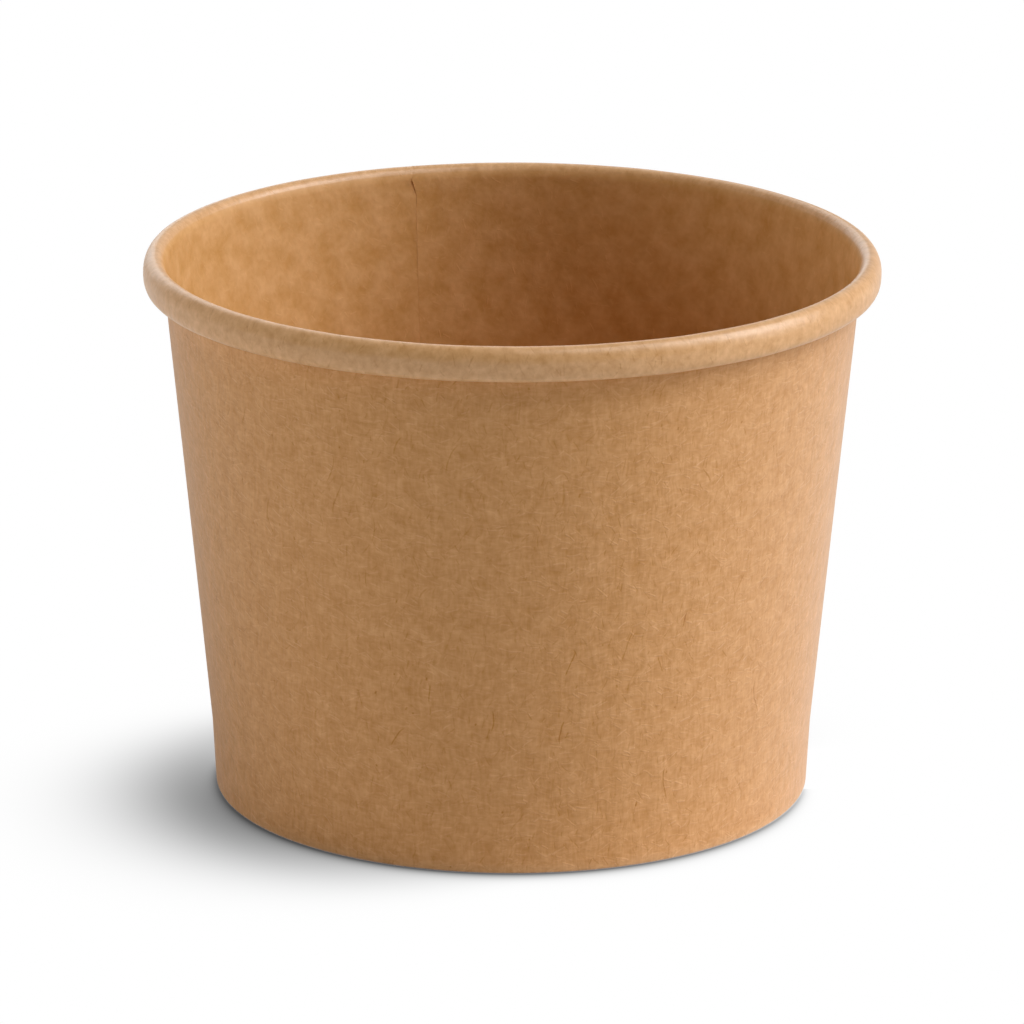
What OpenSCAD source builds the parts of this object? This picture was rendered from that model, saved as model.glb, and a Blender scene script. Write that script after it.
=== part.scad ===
// Kraft paper soup cup. The side wall is one fan-shaped blank, wrapped to a cone and lapped up one
// side. Its top edge is rolled outward into the rim, and its bottom edge is folded in and up round
// the skirt of a pressed base disc. The origin is on the table, on the cup's axis.

/* [Overall] */
// Outside diameter across the rolled rim, by which the lids are sold
rim_d = 98; // [88:0.5:108]
// Outside diameter at the foot
foot_d = 79.8; // [70:0.2:84]
// Height from the table to the top of the rim
cup_h = 73.5; // [50:0.5:110]

/* [Board] */
// Thickness of the side wall's board
wall_t = 0.4; // [0.3:0.05:0.5]
// Thickness of the base's board
base_t = 0.35; // [0.25:0.05:0.45]
// Sealing film on each side of the base's skirt
seal_gap = 0.02; // [0.01:0.01:0.05]

/* [Rolled rim] */
// Width of the roll, wall included
curl_w = 3; // [2.7:0.1:4]
// Height of the roll
curl_h = 4.6; // [3.8:0.1:5.6]
// Space left inside the roll between its two turns
roll_gap = 0.15; // [0.1:0.05:0.3]
// How far the board runs on past one whole turn, in degrees
tuck_a = 30; // [10:5:50]

/* [Side seam] */
// Where the inner raw edge stands round the cup, in degrees from +X
seam_a = 107; // [0:1:340]
// How far the two plies of the seam overlap, in degrees
lap_a = 9; // [7:0.5:12]
// Stretch over which the outer ply comes in beside that edge, in degrees
climb_a = 4.5; // [3:0.5:9]

/* [Base and foot] */
// Height of the base's upper face above the table
base_rise = 9; // [6:0.5:14]
// Radius under the base, where the disc turns down into its skirt
base_bend = 0.6; // [0.4:0.1:1.5]
// Lean of the pressed band that holds the skirt, in degrees
band_taper = 3.2; // [2:0.1:6]
// Drop from the base's underside to the hem's raw edge
hem_drop = 2; // [1.2:0.1:3]
// Space between the skirt's edge and the inside of the foot's fold
skirt_gap = 0.3; // [0.2:0.05:0.8]
// How far the fold is pressed flat where it stands on the table
foot_press = 0.1; // [0.05:0.01:0.15]

/* [Hidden] */

kraft = [0.76, 0.57, 0.37];
kraft_inside = [0.70, 0.49, 0.28];

// Facets round the cup, and the steps in which arcs, the roll and the climbing ply are drawn
round_fn = 180;
fold_steps = 10;
bend_steps = 8;
roll_step = 12;
climb_steps = 5;

function dir(a) = [cos(a), sin(a)];

// Unit vector square to the run from a to b, on its left
function left_of(a, b) = [a.y - b.y, b.x - a.x] / norm(b - a);

// A path is a list of knots. Each is a point and the way in which the sheet's left face lies from it.
function bend(c, r, a0, a1, n) = [
    for (i = [0:n])
        let (away = dir(a0 + (a1 - a0) * i / n))
        [c + r * away, -away]
];

// Knot where a run along the unit normal m meets one along n, mitred to keep both their distances
function corner(p, m, n) = [p, (m + n) / (1 + m * n)];

// Section of a sheet along a path, which reaches left_d to the path's left and right_d to its right
function sheet(path, left_d, right_d) = concat(
    [for (i = [0:len(path) - 1]) path[i][0] + left_d * path[i][1]],
    [for (i = [len(path) - 1:-1:0]) path[i][0] - right_d * path[i][1]]
);

// Foot: the board's middle line folds round the skirt, whose own middle line passes through fold_c
up_band = dir(90 - band_taper);
in_band = dir(180 - band_taper);
fold_r = (wall_t + base_t) / 2 + seal_gap;
fold_c = [foot_d / 2 - fold_r - wall_t / 2, fold_r + wall_t / 2 - foot_press];

// Point on a line that leans with the band through p, at height z
function on_band(p, z) = p + up_band * (z - p.y) / up_band.y;

// Roll: an oval about roll_c, which the wall's middle line meets as a tangent from the band's top
roll_c = [rim_d / 2 - curl_w / 2, cup_h - curl_h / 2];
roll_a = (curl_w - wall_t) / 2;
roll_b = (curl_h - wall_t) / 2;
band_top = on_band(fold_c - fold_r * in_band, base_rise);
seen = [(band_top.x - roll_c.x) / roll_a, (band_top.y - roll_c.y) / roll_b];
meet_a = 360 + atan2(seen.y, seen.x) - acos(1 / norm(seen));

// Past its lowest point the roll draws in, so that its second turn lies inside the first
draw_from = -100;
draw_to = -180;
function drawn(a) = min(max((a - draw_from) / (draw_to - draw_from), 0), 1);
function inset(a) = (wall_t + roll_gap) * (1 - cos(180 * drawn(a))) / 2;
function roll_point(a) = roll_c + [(roll_a - inset(a)) * cos(a), (roll_b - inset(a)) * sin(a)];
function roll(a0, a1) =
    let (n = ceil((a0 - a1) / roll_step))
    [
        for (i = [0:n])
            let (a = a0 + (a1 - a0) * i / n)
            [roll_point(a), left_of(roll_point(a + 1), roll_point(a - 1))]
    ];

// Middle line of the board: from the hem's raw edge, cut level, through the fold and up the wall to
// the lowest point of the roll. Away from the seam the board then turns on inside the roll.
hem_top = [on_band(fold_c + fold_r * in_band, base_rise - base_t - hem_drop), [1 / up_band.y, 0]];
seam_board = concat(
    [hem_top],
    bend(fold_c, fold_r, 180 - band_taper, 360 - band_taper, fold_steps),
    [corner(band_top, in_band, left_of(band_top, roll_point(meet_a)))],
    roll(meet_a, -90)
);
whole_board = concat(seam_board, roll(-90 - roll_step, -180 - tuck_a));

// Turns a section through part of a circle, pressed flat at the table
module turned(section, start_a, span_a)
    rotate_extrude(angle = span_a, start = start_a, $fn = round_fn)
        intersection() {
            polygon(section);
            square([rim_d, 2 * cup_h]);
        }

// At the seam two plies lie on each other. Beyond its inner raw edge the outer ply comes in by small
// steps, until it stands in the inner ply's place.
module sidewall() color(kraft) {
    half = wall_t / 2;
    turned(sheet(whole_board, half, half), seam_a + climb_a, 360 - climb_a - lap_a);
    turned(sheet(seam_board, half, half + wall_t), seam_a - lap_a, lap_a);
    for (i = [1:climb_steps]) {
        out = wall_t * (1 - i / (climb_steps + 1));
        step_a = climb_a / climb_steps;
        turned(sheet(seam_board, half - out, half + out), seam_a + (i - 1) * step_a, step_a);
    }
}

module base_disc() {
    bend_r = base_bend + base_t / 2;
    bend_z = base_rise - base_t / 2 - bend_r;
    skirt_top = on_band(fold_c, bend_z - bend_r * in_band.y);
    skirt_edge = fold_c + up_band * (skirt_gap + wall_t / 2 - fold_r);
    path = concat(
        [[skirt_edge, in_band]],
        bend([skirt_top.x + bend_r * in_band.x, bend_z], bend_r, -band_taper, 90, bend_steps),
        [[[0, base_rise - base_t / 2], [0, -1]]]
    );
    color(kraft_inside)
        rotate_extrude($fn = round_fn)
            polygon(sheet(path, base_t / 2, base_t / 2));
}

sidewall();
base_disc();
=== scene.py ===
"""A kraft paper soup cup: its board, rolled rim, side seam and folded foot, on a white table."""

import math

import bpy
import numpy as np
from mathutils import Matrix, Vector, noise


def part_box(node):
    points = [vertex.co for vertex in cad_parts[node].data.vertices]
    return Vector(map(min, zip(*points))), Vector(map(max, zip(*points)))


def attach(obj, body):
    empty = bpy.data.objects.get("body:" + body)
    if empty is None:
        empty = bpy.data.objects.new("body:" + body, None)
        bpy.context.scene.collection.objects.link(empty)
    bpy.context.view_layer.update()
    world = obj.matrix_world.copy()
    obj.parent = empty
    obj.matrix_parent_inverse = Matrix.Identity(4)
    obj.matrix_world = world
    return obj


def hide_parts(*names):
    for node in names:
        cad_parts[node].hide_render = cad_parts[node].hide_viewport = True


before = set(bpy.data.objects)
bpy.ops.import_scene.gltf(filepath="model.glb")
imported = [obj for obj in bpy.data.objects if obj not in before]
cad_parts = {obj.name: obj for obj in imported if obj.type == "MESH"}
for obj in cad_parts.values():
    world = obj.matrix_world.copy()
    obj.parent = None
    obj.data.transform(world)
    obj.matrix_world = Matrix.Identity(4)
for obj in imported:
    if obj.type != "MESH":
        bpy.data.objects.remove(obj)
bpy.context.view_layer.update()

MM = 0.001

# Sizes of the board, in millimetres, as the cup is built
WALL_T = 0.4
BASE_T = 0.35
SEAL_GAP = 0.02
FOOT_PRESS = 0.1
BASE_RISE = 9.0
BASE_BEND = 0.6
BAND_TAPER = math.radians(3.2)
HEM_DROP = 2.0
SKIRT_GAP = 0.3
CURL_W = 3.0
CURL_H = 4.6
ROLL_GAP = 0.15
# The roll's turn is counted down from its outermost point. From DRAW_FROM on, over DRAW_RUN, it
# draws in to pass inside itself. It ends TUCK past its innermost point, and sooner at the seam.
DRAW_FROM = math.radians(100)
DRAW_RUN = math.radians(80)
TUCK = math.radians(30)
SEAM_TUCK = math.radians(-88)
# The roll's lower outer quarter is fuller than an oval's: the power of its sine and cosine
ROLL_FULL = 0.7

# Side seam, in degrees round the cup from +X: the blank starts at its inner raw edge
TURN = 360
SEAM_AT = 107.0
LAP = 9.0
CLIMB = 4.5
# The inner raw edge is pressed thin and thickens to the whole board over this many degrees
EDGE_T = 0.02
EDGE_RUN = 5.0
# Just under the rim that edge stands off a little and runs aslant: heights in millimetres, degrees
LIFT_AT = 71.1
LIFT_RUN = 0.65
EDGE_LIFT = 0.13
EDGE_SKEW = 0.6
SKEW_RUN = 2.0

# Radius of the foot, and the rim's radius and height as the frame gives them
FOOT_R = 39.9
RIM_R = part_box("sidewall")[1].x / MM
CUP_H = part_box("sidewall")[1].z / MM

FOLD_R = (WALL_T + BASE_T) / 2 + SEAL_GAP
FOLD_C = np.array([FOOT_R - FOLD_R - WALL_T / 2, FOLD_R + WALL_T / 2 - FOOT_PRESS])
ROLL_C = np.array([RIM_R - CURL_W / 2, CUP_H - CURL_H / 2])
ROLL_RADII = np.array([CURL_W - WALL_T, CURL_H - WALL_T]) / 2

# Steps in which each stretch of the wall's section is drawn, and where its band ends
HEM_STEPS = 6
FOLD_STEPS = 14
BAND_STEPS = 8
WALL_STEPS = 34
ROLL_STEPS = 40
TUCK_STEPS = 14
BAND_TOP = HEM_STEPS + FOLD_STEPS + BAND_STEPS
# The points between which the inner face takes on the look of the roll
ROLL_FROM = BAND_TOP + WALL_STEPS + 3
ROLL_TO = ROLL_FROM + 4
# The fold's outer corner is made paler, and the roll's lower lip gets painted light, as if from the
# table below: where, how far to each side in millimetres, and how much
FOLD_AT = HEM_STEPS + FOLD_STEPS - 4
LIP_AT = BAND_TOP + WALL_STEPS + ROLL_STEPS - 5
PALE_LIT_RUN = 0.5
FOLD_PALER = 0.5
LIP_PAINTED_LIGHT = 0.7

# Degrees between the wall's columns, and the finer steps within a reach of each end of the blank
COLUMN_STEP = 1.0
FINE_STEP = 0.2
FINE_REACH = 2

# Steps of the base's section, and its columns
DISC_STEPS = 40
BEND_STEPS = 10
SKIRT_STEPS = 8
BASE_COLUMNS = 240

# Folds of more than this are drawn as sharp edges
SHARP = math.radians(40)

# Unevenness of real board, as a broad wave and a fine one: how far it moves the board on average,
# in millimetres, how quickly it changes round the cup, and where in the noise it lies
RIM_WAVES = ((0.03, 2.2, 3.1), (0.02, 9, 7.7))
WALL_WAVES = ((0.04, 1.6, 1.3), (0.02, 6, 5.9))
DROP_WAVES = ((0.04, 1.7, 11.3), (0.03, 8, 13.9))
# Heights in millimetres: where the rim's waves begin, over how much they grow, where the wall's end
RIM_FROM = 60
RIM_RUN = 10
WALL_END = 68

# The board's materials, by their place in each piece's list
INSIDE, OUTSIDE, EDGE, ON_ROLL = range(4)


def unit(angle):
    return np.array([math.cos(angle), math.sin(angle)])


UP_BAND = unit(math.pi / 2 - BAND_TAPER)
IN_BAND = unit(math.pi - BAND_TAPER)


def on_band(point, z):
    """The point at height z on a line through point that leans with the pressed band."""
    return point + UP_BAND * (z - point[1]) / UP_BAND[1]


def line(a, b, count):
    """Points from a to b, without b."""
    return [a + (b - a) * i / count for i in range(count)]


def arc(centre, radius, a0, a1, count):
    """Points round an arc, without its end."""
    return [centre + radius * unit(a0 + (a1 - a0) * i / count) for i in range(count)]


def smooth(x):
    """0 up to 0, 1 from 1 on, and smooth between them."""
    x = np.clip(x, 0, 1)
    return x * x * (3 - 2 * x)


def roll_point(angle):
    """A point of the roll's middle line. Past its lowest point it draws in to pass inside itself."""
    drawn = min(max((-angle - DRAW_FROM) / DRAW_RUN, 0), 1)
    inset = (WALL_T + ROLL_GAP) * (1 - math.cos(math.pi * drawn)) / 2
    way = unit(angle)
    if way[0] > 0 > way[1]:
        way = np.array([way[0] ** ROLL_FULL, -(-way[1]) ** ROLL_FULL])
    return ROLL_C + (ROLL_RADII - inset) * way


def wall_section(tuck):
    """Middle line of the side wall's board from the hem's raw edge to the end of the roll."""
    hem_top = on_band(FOLD_C + FOLD_R * IN_BAND, BASE_RISE - BASE_T - HEM_DROP)
    fold_in = FOLD_C + FOLD_R * IN_BAND
    fold_out = FOLD_C - FOLD_R * IN_BAND
    band_top = on_band(fold_out, BASE_RISE)
    seen = (band_top - ROLL_C) / ROLL_RADII
    meet = 2 * math.pi + math.atan2(seen[1], seen[0]) - math.acos(1 / np.linalg.norm(seen))
    meet_point = roll_point(meet)
    points = line(hem_top, fold_in, HEM_STEPS)
    points += arc(FOLD_C, FOLD_R, math.pi - BAND_TAPER, 2 * math.pi - BAND_TAPER, FOLD_STEPS)
    points += line(fold_out, band_top, BAND_STEPS)
    points += line(band_top, meet_point, WALL_STEPS)
    low = -math.pi / 2
    points += [roll_point(meet + (low - meet) * i / ROLL_STEPS) for i in range(ROLL_STEPS)]
    end = -math.pi - tuck
    points += [roll_point(low + (end - low) * i / TUCK_STEPS) for i in range(TUCK_STEPS + 1)]
    return np.array(points)


def left_normals(path):
    """Unit vectors square to a path, on its left."""
    run = np.gradient(path, axis=0)
    run /= np.linalg.norm(run, axis=1)[:, None]
    return np.stack([-run[:, 1], run[:, 0]], 1)


def lengths(path):
    """Distance along a path to each of its points."""
    return np.concatenate([[0], np.cumsum(np.linalg.norm(np.diff(path, axis=0), axis=1))])


def both_faces(values):
    """Values along the section's inner face, and back down its outer one."""
    return np.concatenate([values, values[::-1]])


def ripple(angle, rate, seed):
    """Smooth random value from -1 to 1 that runs round the cup about rate times a radian."""
    return noise.noise(Vector((math.cos(angle) * rate, math.sin(angle) * rate, seed)))


def waves(angle, kinds):
    """How far waves of some kinds move the board at an angle round the cup: never below 0."""
    return sum(far * (1 + ripple(angle, rate, seed)) for far, rate, seed in kinds)


def hand_made(points, angle):
    """Moves a section's points by the small unevenness of real board, always inwards or down."""
    rim_share = smooth((points[:, 1] - RIM_FROM) / RIM_RUN)
    wall_share = np.sin(np.pi * np.clip(points[:, 1] / WALL_END, 0, 1))
    moved = points.copy()
    moved[:, 0] -= rim_share * waves(angle, RIM_WAVES) + wall_share * waves(angle, WALL_WAVES)
    moved[:, 1] -= rim_share * waves(angle, DROP_WAVES)
    return moved


def make_mesh(name, corners, faces, looks, materials, blank, rolled, paler_and_lit):
    """A mesh in metres from corners in millimetres. It carries the board's flat coordinates, how far
    it is rolled, and how far its fold is made paler and its lip painted lighter."""
    mesh = bpy.data.meshes.new(name)
    mesh.from_pydata((corners * MM).tolist(), [], faces)
    mesh.polygons.foreach_set("material_index", looks)
    for material in materials:
        mesh.materials.append(material)
    flat = mesh.attributes.new("blank", "FLOAT_VECTOR", "POINT")
    flat.data.foreach_set("vector", blank.astype(np.float32).ravel())
    for label, share in (("rolled", rolled), ("paler_and_lit", paler_and_lit)):
        made = mesh.attributes.new(label, "FLOAT", "POINT")
        made.data.foreach_set("value", share.astype(np.float32))
    mesh.update()
    mesh.shade_smooth()
    mesh.set_sharp_from_angle(angle=SHARP)
    piece = bpy.data.objects.new(name, mesh)
    bpy.context.scene.collection.objects.link(piece)
    return piece


def blank_angles():
    """Degrees along the blank of its columns, closer together at the seam."""
    return np.unique(np.concatenate([
        np.arange(0, TURN + LAP, COLUMN_STEP),
        np.arange(0, FINE_REACH, FINE_STEP),
        np.arange(TURN - FINE_REACH, TURN + FINE_REACH, FINE_STEP),
        [TURN + LAP],
    ]).round(3))


def seam_plies(t, heights):
    """At t degrees along the blank: how far its inner face sinks, how thick it is, and its skew.

    The inner ply starts as a thin pressed edge and thickens. The outer ply sinks behind that edge
    and then runs over the inner ply.
    """
    stand = (heights - LIFT_AT) / LIFT_RUN
    lifted = EDGE_T + EDGE_LIFT * np.exp(-stand ** 2)
    skew = EDGE_SKEW * stand * np.exp((1 - stand ** 2) / 2) * (1 - smooth(t / SKEW_RUN))
    past = t - TURN
    under = lifted + (WALL_T - lifted) * smooth((past if past > 0 else t) / EDGE_RUN)
    if past > 0:
        return under, WALL_T, 0 * skew
    return lifted * smooth((past + CLIMB) / CLIMB), under, skew


def wall_column(t, whole, cut):
    """Corners of the board at t degrees along the blank: its inner face, then its outer one."""
    angle = math.radians(SEAM_AT - t)
    rolled = smooth(t - LAP - 1) * smooth(TURN - CLIMB - 1 - t)
    middle = hand_made(rolled * whole + (1 - rolled) * cut, angle)
    left = left_normals(middle)
    sink, thick, skew = seam_plies(t, middle[:, 1])
    inner = middle + left * (WALL_T / 2 - sink)[:, None]
    outer = inner - left * (np.zeros(len(middle)) + thick)[:, None]
    section = np.concatenate([inner, outer[::-1]])
    section[:, 1] = np.maximum(section[:, 1], 0)
    turn = angle + np.radians(both_faces(skew))
    return np.stack([section[:, 0] * np.cos(turn), section[:, 0] * np.sin(turn), section[:, 1]], 1)


def flat_column(t, reach, lean):
    """The same corners on the flat fan of the blank, at their reach from its middle."""
    fan = math.radians(t - (TURN + LAP) / 2) * math.sin(lean)
    return both_faces(np.stack([reach * math.sin(fan), reach * math.cos(fan), 0 * reach], 1))


def wall_look(i, count):
    """The place in the wall's materials of the face that follows point i of its section."""
    if i in (count - 1, 2 * count - 1):
        return EDGE
    if i >= count:
        return OUTSIDE
    return ON_ROLL if i >= (ROLL_FROM + ROLL_TO) // 2 else INSIDE


def wall_faces(columns, count):
    """Faces between the wall's columns and over its two raw edges, and the material of each."""
    ring = 2 * count
    faces, looks = [], []
    for k in range(columns - 1):
        a, b = k * ring, (k + 1) * ring
        for i in range(ring):
            j = (i + 1) % ring
            faces.append((a + i, b + i, b + j, a + j))
            looks.append(wall_look(i, count))
    last = (columns - 1) * ring
    for i in range(count - 1):
        j = ring - 1 - i
        faces.append((i, i + 1, j - 1, j))
        faces.append((last + i, last + j, last + j - 1, last + i + 1))
        looks += [EDGE, EDGE]
    return faces, looks


def make_sidewall(materials):
    """The blank, wrapped once round the cup and lapped. Each column is the section of its board."""
    whole, cut = wall_section(TUCK), wall_section(SEAM_TUCK)
    columns, count = blank_angles(), len(whole)
    lean = math.atan2(ROLL_C[0] - ROLL_RADII[0] - FOOT_R, ROLL_C[1] - BASE_RISE)
    path = lengths(whole)
    reach = FOOT_R / math.sin(lean) + path - path[BAND_TOP]
    corners = np.concatenate([wall_column(t, whole, cut) for t in columns])
    blank = np.concatenate([flat_column(t, reach, lean) for t in columns])
    on_roll = smooth((path - path[ROLL_FROM]) / (path[ROLL_TO] - path[ROLL_FROM]))
    # Painted light on the roll's lower lip, as if lit by the table below, and a paler fold corner
    lip_painted_share = LIP_PAINTED_LIGHT * np.exp(-((path - path[LIP_AT]) / PALE_LIT_RUN) ** 2)
    fold_paler_share = FOLD_PALER * np.exp(-((path - path[FOLD_AT]) / PALE_LIT_RUN) ** 2)
    rolled = np.tile(both_faces(on_roll), len(columns))
    paler_and_lit = np.tile(np.concatenate([lip_painted_share, fold_paler_share[::-1]]), len(columns))
    faces, looks = wall_faces(len(columns), count)
    return make_mesh("kraft_wall", corners, faces, looks, materials, blank, rolled, paler_and_lit)


def base_section():
    """Middle line of the base's board from its middle out over the bend and down the skirt."""
    bend_r = BASE_BEND + BASE_T / 2
    bend_z = BASE_RISE - BASE_T / 2 - bend_r
    skirt_top = on_band(FOLD_C, bend_z - bend_r * IN_BAND[1])
    skirt_edge = FOLD_C + UP_BAND * (SKIRT_GAP + WALL_T / 2 - FOLD_R)
    bend_c = np.array([skirt_top[0] + bend_r * IN_BAND[0], bend_z])
    top = bend_c + [0, bend_r]
    points = line(np.array([0.0, top[1]]), top, DISC_STEPS)
    points += arc(bend_c, bend_r, math.pi / 2, -BAND_TAPER, BEND_STEPS)
    points += line(skirt_top, skirt_edge, SKIRT_STEPS) + [skirt_edge]
    return np.array(points)


def base_faces(count, ring):
    """Faces round the base and over its two middle points, and the material of each."""
    faces, looks = [], []
    top, bottom = BASE_COLUMNS * ring, BASE_COLUMNS * ring + 1
    for k in range(BASE_COLUMNS):
        a, b = k * ring, (k + 1) % BASE_COLUMNS * ring
        for i in range(ring - 1):
            faces.append((a + i, a + i + 1, b + i + 1, b + i))
            looks.append(EDGE if i == count - 2 else OUTSIDE if i > count - 2 else INSIDE)
        faces += [(top, a, b), (bottom, b + ring - 1, a + ring - 1)]
        looks += [INSIDE, OUTSIDE]
    return faces, looks


def make_base(materials):
    """The pressed base disc with its skirt, which the foot's fold holds."""
    middle = base_section()
    left = left_normals(middle)
    section = np.concatenate([middle + left * BASE_T / 2, (middle - left * BASE_T / 2)[::-1]])
    section[0, 0] = section[-1, 0] = 0
    reach = both_faces(lengths(middle))
    ring = len(section) - 2
    corners, blank = [], []
    for k in range(BASE_COLUMNS):
        spoke = unit(2 * math.pi * k / BASE_COLUMNS)
        corners.append(np.column_stack([section[1:-1, :1] * spoke, section[1:-1, 1]]))
        blank.append(np.column_stack([reach[1:-1, None] * spoke, np.zeros(ring)]))
    corners.append(np.array([[0, 0, section[0, 1]], [0, 0, section[-1, 1]]]))
    blank.append(np.zeros((2, 3)))
    plain = np.zeros(BASE_COLUMNS * ring + 2)
    faces, looks = base_faces(len(middle), ring)
    return make_mesh("kraft_base", np.concatenate(corners), faces, looks, materials,
                     np.concatenate(blank), plain, plain)


def node(tree, kind, inputs=None, **settings):
    """A shader node with its settings, and its inputs joined or set."""
    made = tree.nodes.new("ShaderNode" + kind)
    for name, value in settings.items():
        setattr(made, name, value)
    for name, value in (inputs or {}).items():
        if isinstance(value, bpy.types.NodeSocket):
            tree.links.new(value, made.inputs[name])
        else:
            made.inputs[name].default_value = value
    return made


def calc(tree, operation, *values):
    return node(tree, "Math", dict(enumerate(values)), operation=operation).outputs[0]


def vector(tree, operation, *values):
    return node(tree, "VectorMath", dict(enumerate(values)), operation=operation).outputs[0]


def between(tree, value, low, high):
    """0 where value is at low or beyond it, 1 at high or beyond, and smooth between them."""
    made = node(tree, "MapRange", {0: value, 1: low, 2: high}, interpolation_type="SMOOTHSTEP")
    return made.outputs[0]


def weighted(tree, start, parts, weights):
    """start, and each part times its weight."""
    total = start
    for name, weight in weights.items():
        total = calc(tree, "MULTIPLY_ADD", parts[name], weight, total)
    return total


def clouds(tree, where, size, detail, rough=0.5):
    """Noise about 0 in patches of about size, in millimetres."""
    return node(tree, "TexNoise", {"Vector": where, "Scale": 1 / size, "Detail": detail,
                                   "Roughness": rough}, noise_dimensions="2D",
                normalize=False).outputs[0]


def threads(tree, where, across, up):
    """Soft strokes about 0, of the given width across and height up the sheet."""
    drawn = node(tree, "Mapping", {"Vector": where, "Scale": (1 / across, 1 / up, 1)}).outputs[0]
    return clouds(tree, drawn, 1.0, 1.0)


# How much a fibre bows, in 1 / mm, and the shares of its length and strength that the least one has
BOW = 0.12
SHORTEST = 0.3
FAINTEST = 0.25
# The shares of its width and length that are at full strength, and the power that makes strong
# fibres rare. A cell's second chance, times OTHER_ODDS, gives it a further one.
FULL_ACROSS = 0.3
FULL_ALONG = 0.6
RARE = 4.0
OTHER_ODDS = 7.3
# How far each layer of fibres is moved from the last, in millimetres
LAYER_RIGHT = 31.7
LAYER_UP = 17.3


def fibres(tree, where, every, angle, spread, long, wide):
    """Single fibres, one to a cell of the sheet: 1 along the middle of each, and 0 beside it.

    Lengths are in millimetres: the cell's size, and half the longest fibre's length and width.
    """
    cell = node(tree, "TexVoronoi", {"Vector": where, "Scale": 1 / every},
                voronoi_dimensions="2D").outputs
    chance = node(tree, "SeparateColor", {"Color": cell["Color"]}).outputs
    local = vector(tree, "SUBTRACT", where, cell["Position"])
    turn = calc(tree, "MULTIPLY_ADD", chance[0], spread, angle - spread / 2)
    turned = node(tree, "VectorRotate", {"Vector": local, "Angle": turn},
                  rotation_type="Z_AXIS").outputs[0]
    x, y = node(tree, "SeparateXYZ", {0: turned}).outputs[:2]
    bow = calc(tree, "MULTIPLY_ADD", chance[1], 2 * BOW, -BOW)
    aside = calc(tree, "MULTIPLY_ADD", calc(tree, "MULTIPLY", x, x), bow, y)
    across = between(tree, calc(tree, "ABSOLUTE", aside), wide, FULL_ACROSS * wide)
    reach = calc(tree, "MULTIPLY_ADD", chance[2], (1 - SHORTEST) * long, SHORTEST * long)
    share = calc(tree, "DIVIDE", calc(tree, "ABSOLUTE", x), reach)
    along = between(tree, share, 1.0, FULL_ALONG)
    odds = calc(tree, "FRACT", calc(tree, "MULTIPLY", chance[1], OTHER_ODDS))
    strong = calc(tree, "MULTIPLY_ADD", calc(tree, "POWER", odds, RARE), 1 - FAINTEST, FAINTEST)
    return calc(tree, "MULTIPLY", calc(tree, "MULTIPLY", across, along), strong)


def fibre_layers(tree, where, layers, **kind):
    """Several layers of one kind of fibre, which lie over each other."""
    top = None
    for k in range(layers):
        moved = vector(tree, "ADD", where, (LAYER_RIGHT * k + kind["every"], LAYER_UP * k, 0))
        layer = fibres(tree, moved, **kind)
        top = calc(tree, "MAXIMUM", top, layer) if top else layer
    return top


def new_material(name):
    material = bpy.data.materials.new(name)
    material.use_nodes = True
    material.node_tree.nodes.clear()
    return material, material.node_tree


# The sheet's coordinates are bent by noise of this scale, in 1 / mm, and by so many millimetres
DRIFT_SCALE = 0.3
DRIFT = (0.8, 0.8, 0)


def sheet(tree):
    """Coordinates on the flat blank in millimetres, plain and a little bent."""
    flat = node(tree, "Attribute", attribute_name="blank").outputs["Vector"]
    drift = node(tree, "TexNoise", {"Vector": flat, "Scale": DRIFT_SCALE, "Detail": 1.0},
                 noise_dimensions="2D").outputs["Color"]
    return flat, vector(tree, "MULTIPLY_ADD", drift, DRIFT, flat)


def mark(tree, name):
    """A share that the mesh carries: the roll, or the paler fold and painted light on the lip."""
    return node(tree, "Attribute", attribute_name=name).outputs["Fac"]


def blend(tree, share, plain, other):
    """The plain colour, and the other one where share is 1."""
    both = {"Factor": share, "A": plain, "B": other}
    return node(tree, "Mix", both, data_type="VECTOR").outputs[1]


# The board's colour outside, inside, and on the roll, which has some painted sheen in it; the last
# is the cut edge's, and it also makes the fold paler and paints light onto the roll's lower lip
KRAFT = (0.592, 0.288, 0.092)
SEALED = (0.628, 0.340, 0.128)
# Partly painted sheen: paler and greyer than the sealed face's colour
ROLLED_AND_SHEEN = (0.636, 0.350, 0.150)
PALE_AND_LIT = (0.640, 0.369, 0.172)
# A paler tone adds this colour, which is greyer than those, and a darker one takes it away, but
# never below the second
PALER = (0.42, 0.325, 0.24)
DARKEST = (0.02, 0.02, 0.02)


def finish_board(tree, tint, tone, relief, rough, specular, sheen=0.0):
    """Board of the colour tint, made paler or darker by tone, with its relief in millimetres."""
    toned = vector(tree, "MULTIPLY_ADD", tone, PALER, tint)
    colour = vector(tree, "MAXIMUM", toned, DARKEST)
    bump = node(tree, "Bump", {"Strength": 1.0, "Distance": MM, "Height": relief}).outputs[0]
    shader = node(tree, "BsdfPrincipled", {
        "Base Color": colour,
        "Normal": bump,
        "Roughness": rough,
        "Specular IOR Level": specular,
        "Sheen Weight": sheen,
    })
    node(tree, "OutputMaterial", {"Surface": shader.outputs[0]})


# Fibres: how many layers, the size of a cell, the way they lie and how far that varies, in radians,
# and half the length and width of the longest
PALE = {"layers": 3, "every": 1.5, "angle": 0.0, "spread": 1.4, "long": 1.25, "wide": 0.14}
DARK = {"layers": 2, "every": 1.7, "angle": 1.57, "spread": 1.5, "long": 1.0, "wide": 0.12}
HAIRS = {"layers": 1, "every": 8.0, "angle": 1.57, "spread": 1.2, "long": 2.8, "wide": 0.13}
SPECKS = {"layers": 1, "every": 4.5, "angle": 1.57, "spread": 1.0, "long": 0.35, "wide": 0.16}
SOFT_PALE = {"layers": 2, "every": 1.7, "angle": 0.3, "spread": 2.6, "long": 0.9, "wide": 0.16}

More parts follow.
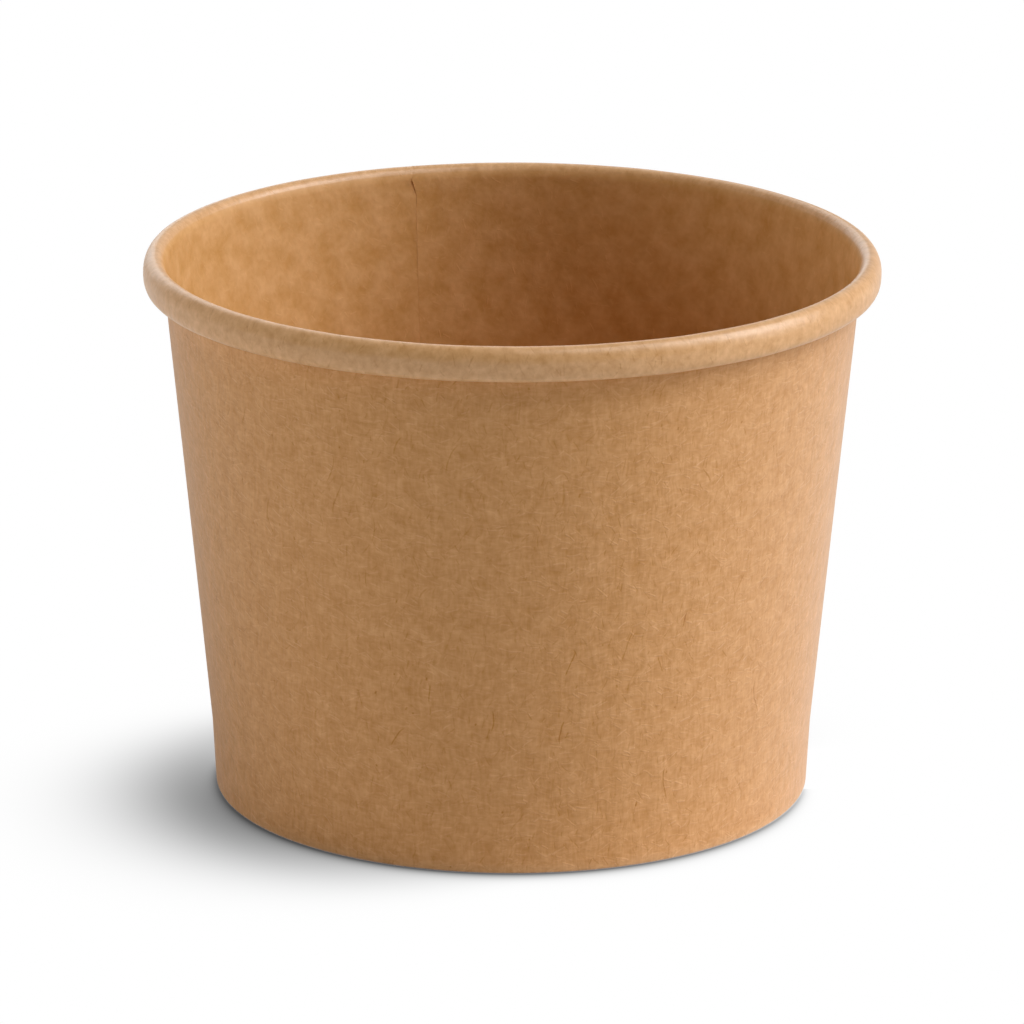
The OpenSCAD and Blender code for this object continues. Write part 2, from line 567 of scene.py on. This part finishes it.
# Clouds and strokes in the pulp, in millimetres: outside, then inside
PATCHES = {"size": 2.6, "detail": 2.0, "rough": 0.6}
BLOTS = {"size": 0.8, "detail": 1.0}
ACROSS = {"across": 1.6, "up": 0.4}
UPRIGHT = {"across": 0.4, "up": 2.6}
SOFT_PATCHES = {"size": 3.2, "detail": 2.0, "rough": 0.5}
SOFT_BLOTS = {"size": 0.7, "detail": 1.0}
SOFT_UPRIGHT = {"across": 0.6, "up": 4.0}
MOTTLE = {"size": 1.2, "detail": 3.0, "rough": 0.6}

# How much each part of the pulp makes the board paler, higher in millimetres, and rougher
OUTSIDE_TONE = {"patches": 0.11, "blots": 0.07, "across": 0.06, "upright": 0.07, "pale": 0.14,
                "dark": -0.17, "hairs": -0.32, "specks": -0.35}
OUTSIDE_RELIEF = {"pale": 0.028, "dark": -0.012, "patches": 0.03, "across": 0.006, "upright": 0.006}
OUTSIDE_ROUGH = {"patches": 0.08, "pale": -0.05}
INSIDE_TONE = {"patches": 0.15, "blots": 0.045, "upright": 0.015, "pale": 0.07, "creases": -0.2,
               "mottle": 0.14}
INSIDE_RELIEF = {"pale": 0.008, "patches": 0.03, "blots": 0.004, "creases": -0.008, "mottle": 0.008}
INSIDE_ROUGH = {"patches": 0.08}
EDGE_TONE = {"grain": 0.3}
EDGE_RELIEF = {"grain": 0.02}
EDGE_ROUGH = {"grain": 0.1}

# What the roll takes from the roughness of the sealed face, its upright strokes and its patches
ROLL_SMOOTHER = -0.22
ROLL_PLAINER = -0.9
ROLL_CALMER = -0.5

# Grains of the cut edge to a metre
GRAINS = 9000.0


def make_outside():
    """Uncoated board: crossing fibres, a few dark hairs and specks, clouds and faint streaks."""
    material, tree = new_material("kraft_outside")
    flat, where = sheet(tree)
    pulp = {
        "pale": fibre_layers(tree, where, **PALE),
        "dark": fibre_layers(tree, where, **DARK),
        "hairs": fibre_layers(tree, where, **HAIRS),
        "specks": fibre_layers(tree, flat, **SPECKS),
        "patches": clouds(tree, flat, **PATCHES),
        "blots": clouds(tree, where, **BLOTS),
        "across": threads(tree, where, **ACROSS),
        "upright": threads(tree, where, **UPRIGHT),
    }
    # Paler at the fold's outer corner
    tint = blend(tree, mark(tree, "paler_and_lit"), KRAFT, PALE_AND_LIT)
    tone = weighted(tree, -0.02, pulp, OUTSIDE_TONE)
    relief = weighted(tree, 0.0, pulp, OUTSIDE_RELIEF)
    rough = weighted(tree, 0.75, pulp, OUTSIDE_ROUGH)
    finish_board(tree, tint, tone, relief, rough, specular=0.53, sheen=0.45)
    return material


def make_sealed(name, specular):
    """Sealed board: soft clouds under a satin film; smoother, paler and more mottled on the roll,
    whose paler colour is partly painted sheen.
    """
    material, tree = new_material(name)
    flat, where = sheet(tree)
    rolled = mark(tree, "rolled")
    # Painted light on the roll's lower lip, blended towards the paler colour
    tint = blend(tree, mark(tree, "paler_and_lit"), blend(tree, rolled, SEALED, ROLLED_AND_SHEEN), PALE_AND_LIT)
    plain = calc(tree, "MULTIPLY_ADD", rolled, ROLL_PLAINER, 1.0)
    calm = calc(tree, "MULTIPLY_ADD", rolled, ROLL_CALMER, 1.0)
    pulp = {
        "pale": fibre_layers(tree, where, **SOFT_PALE),
        "patches": calc(tree, "MULTIPLY", clouds(tree, flat, **SOFT_PATCHES), calm),
        "blots": clouds(tree, where, **SOFT_BLOTS),
        "upright": calc(tree, "MULTIPLY", threads(tree, where, **SOFT_UPRIGHT), plain),
        "creases": calc(tree, "MULTIPLY", fibre_layers(tree, where, **DARK), rolled),
        "mottle": calc(tree, "MULTIPLY", clouds(tree, where, **MOTTLE), rolled),
    }
    tone = weighted(tree, -0.01, pulp, INSIDE_TONE)
    relief = weighted(tree, 0.0, pulp, INSIDE_RELIEF)
    satin = calc(tree, "MULTIPLY_ADD", rolled, ROLL_SMOOTHER, 0.55)
    rough = weighted(tree, satin, pulp, INSIDE_ROUGH)
    finish_board(tree, tint, tone, relief, rough, specular)
    return material


def make_edge():
    """The cut edge, where the pulp lies open."""
    material, tree = new_material("kraft_edge")
    place = node(tree, "TexCoord").outputs["Object"]
    pulp = {"grain": node(tree, "TexNoise", {"Vector": place, "Scale": GRAINS, "Detail": 2.0},
                          normalize=False).outputs[0]}
    tone = weighted(tree, -0.1, pulp, EDGE_TONE)
    relief = weighted(tree, 0.0, pulp, EDGE_RELIEF)
    rough = weighted(tree, 0.85, pulp, EDGE_ROUGH)
    finish_board(tree, PALE_AND_LIT, tone, relief, rough, specular=0.4)
    return material


# The table's width and how far it lies under the foot, in metres, and what it sends back to the cup
TABLE_SIZE = 12
TABLE_DROP = 0.02 * MM
TABLE_TONE = 0.9
# Shade on the table: how deep, the way it falls in degrees round from +X, the cosine at which it
# ends, how it weakens towards there (a power), its reach in millimetres there and in its middle, and
# how suddenly it fades (a power). First the soft shade, then the dark lines in front and behind.
SHADES = (
    (0.746, 201.7, 0.234, 1.57, 1.0, 15.2, 1.9),
    (0.87, 262.0, 0.0, 0.3, 0.5, 1.5, 1.2),
    (0.6, 90.0, 0.25, 1.0, 3.0, 3.0, 1.0),
)


def facing(tree, spoke, azimuth, ends):
    """1 on the side of the cup that looks that way, and 0 from where its cosine is below ends."""
    way = (*unit(math.radians(azimuth)), 0)
    cosine = node(tree, "VectorMath", {0: spoke, 1: way}, operation="DOT_PRODUCT").outputs["Value"]
    share = calc(tree, "DIVIDE", calc(tree, "SUBTRACT", cosine, ends), 1 - ends)
    return node(tree, "Clamp", {0: share}).outputs[0]


def shaded(tree, spoke, distance, shade):
    """How much light is left under one shade."""
    depth, azimuth, ends, weaker, near, far, sudden = shade
    side = facing(tree, spoke, azimuth, ends)
    reach = calc(tree, "MULTIPLY_ADD", side, far - near, near)
    share = calc(tree, "POWER", calc(tree, "DIVIDE", distance, reach), sudden)
    fading = calc(tree, "EXPONENT", calc(tree, "MULTIPLY", share, -1.0))
    lost = calc(tree, "MULTIPLY", calc(tree, "POWER", side, weaker), fading)
    return calc(tree, "MULTIPLY_ADD", lost, -depth, 1.0)


def table_light(tree):
    """How bright the table is: white, but for the shade beside the foot."""
    place = node(tree, "NewGeometry").outputs["Position"]
    flat = vector(tree, "MULTIPLY", place, (1, 1, 0))
    spoke = vector(tree, "NORMALIZE", flat)
    radius = node(tree, "VectorMath", {0: flat}, operation="LENGTH").outputs["Value"]
    distance = calc(tree, "ABSOLUTE", calc(tree, "MULTIPLY_ADD", radius, 1 / MM, -FOOT_R))
    light = None
    for shade in SHADES:
        left = shaded(tree, spoke, distance, shade)
        light = calc(tree, "MULTIPLY", light, left) if light else left
    return light


def make_floor():
    """A plain white table with one soft shade beside the foot."""
    bpy.ops.mesh.primitive_plane_add(size=TABLE_SIZE, location=(0, 0, -TABLE_DROP))
    floor = bpy.context.active_object
    floor.name = "floor"
    material, tree = new_material("white_table")
    seen = node(tree, "LightPath").outputs["Is Camera Ray"]
    white = node(tree, "Emission", {"Strength": table_light(tree)})
    plain = node(tree, "BsdfDiffuse", {"Color": (TABLE_TONE, TABLE_TONE, TABLE_TONE, 1)})
    both = node(tree, "MixShader", {0: seen, 1: plain.outputs[0], 2: white.outputs[0]})
    node(tree, "OutputMaterial", {"Surface": both.outputs[0]})
    material.cycles.emission_sampling = "NONE"
    floor.data.materials.append(material)


# The camera, as the photograph's outline gives it: angles in radians, its lens in millimetres, and
# metres for the rest
ELEVATION = 0.29496
DISTANCE = 0.980
CAMERA_ROLL = 0.00234
LENS = 256.9
AIM_HEIGHT = 35.6 * MM
AIM_RIGHT = 0.04 * MM
AIM_UP = 1.50 * MM
CLIP_START = 0.01
CLIP_END = 50


def make_camera():
    forward = Vector((0, math.cos(ELEVATION), -math.sin(ELEVATION)))
    right = Vector((1, 0, 0))
    up = right.cross(forward)
    across = right * math.cos(CAMERA_ROLL) + up * math.sin(CAMERA_ROLL)
    upward = up * math.cos(CAMERA_ROLL) - right * math.sin(CAMERA_ROLL)
    target = Vector((0, 0, AIM_HEIGHT)) + across * AIM_RIGHT + upward * AIM_UP
    data = bpy.data.cameras.new("camera")
    data.lens = LENS
    data.clip_start = CLIP_START
    data.clip_end = CLIP_END
    camera = bpy.data.objects.new("camera", data)
    camera.matrix_world = Matrix.Translation(target - forward * DISTANCE) @ Matrix(
        (across, upward, -forward)).transposed().to_4x4()
    bpy.context.scene.collection.objects.link(camera)
    bpy.context.scene.camera = camera


# Soft lights: where each stands round the cup in degrees from +X, how high, and its strength
SOFT_LIGHTS = {
    "key": (0, 35, 1.74),
    "key_low": (0, 12, 0.80),
    "key_high": (0, 60, 0.30),
    "front": (-36, 35, 0.21),
    "front_high": (-36, 60, 0.80),
    "back": (108, 35, 0.24),
    "back_low": (108, 12, 0.30),
    "back_high": (108, 60, 0.12),
    "back_right": (72, 35, 0.08),
    "left": (180, 12, 1.25),
}
SPREAD = math.radians(36)
# The light that brightens the board but isn't seen in its gloss
GLOSSLESS = "left"


def make_lights():
    for name, (azimuth, elevation, strength) in SOFT_LIGHTS.items():
        data = bpy.data.lights.new(name, "SUN")
        data.energy = strength
        data.angle = SPREAD
        light = bpy.data.objects.new(name, data)
        light.visible_glossy = name != GLOSSLESS
        level, height = unit(math.radians(elevation))
        out = Vector((*unit(math.radians(azimuth)) * level, height))
        light.rotation_mode = "QUATERNION"
        light.rotation_quaternion = out.to_track_quat("Z", "Y")
        bpy.context.scene.collection.objects.link(light)


# How bright the studio's white surround stands in the board's gloss. It lies behind the cup, and
# goes dark towards the camera's side between these two values of a direction's Y.
SURROUND = 0.65
SURROUND_ENDS = (-0.6, 0.3)


def make_backdrop():
    """White all round, seen past the table and in the board's gloss. The lights give the rest."""
    world = bpy.data.worlds.new("backdrop")
    bpy.context.scene.world = world
    world.use_nodes = True
    tree = world.node_tree
    tree.nodes.clear()
    ray = node(tree, "LightPath").outputs
    way = node(tree, "SeparateXYZ", {0: node(tree, "TexCoord").outputs["Generated"]}).outputs
    behind = calc(tree, "MULTIPLY", between(tree, way["Y"], *SURROUND_ENDS), SURROUND)
    strength = calc(tree, "MULTIPLY_ADD", ray["Is Glossy Ray"], behind, ray["Is Camera Ray"])
    white = node(tree, "Background", {"Color": (1, 1, 1, 1), "Strength": strength})
    node(tree, "OutputWorld", {"Surface": white.outputs[0]})


bpy.context.scene.view_settings.view_transform = "Standard"

make_camera()
make_floor()
make_lights()
make_backdrop()

# In the order of INSIDE, OUTSIDE, EDGE and ON_ROLL. The base has no roll.
board = [
    make_sealed("kraft_inside", specular=0.28),
    make_outside(),
    make_edge(),
    make_sealed("kraft_roll", specular=0.6),
]

wall = make_sidewall(board)
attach(wall, "root")
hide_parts("sidewall")

base = make_base(board[:ON_ROLL])
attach(base, "root")
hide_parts("base_disc")
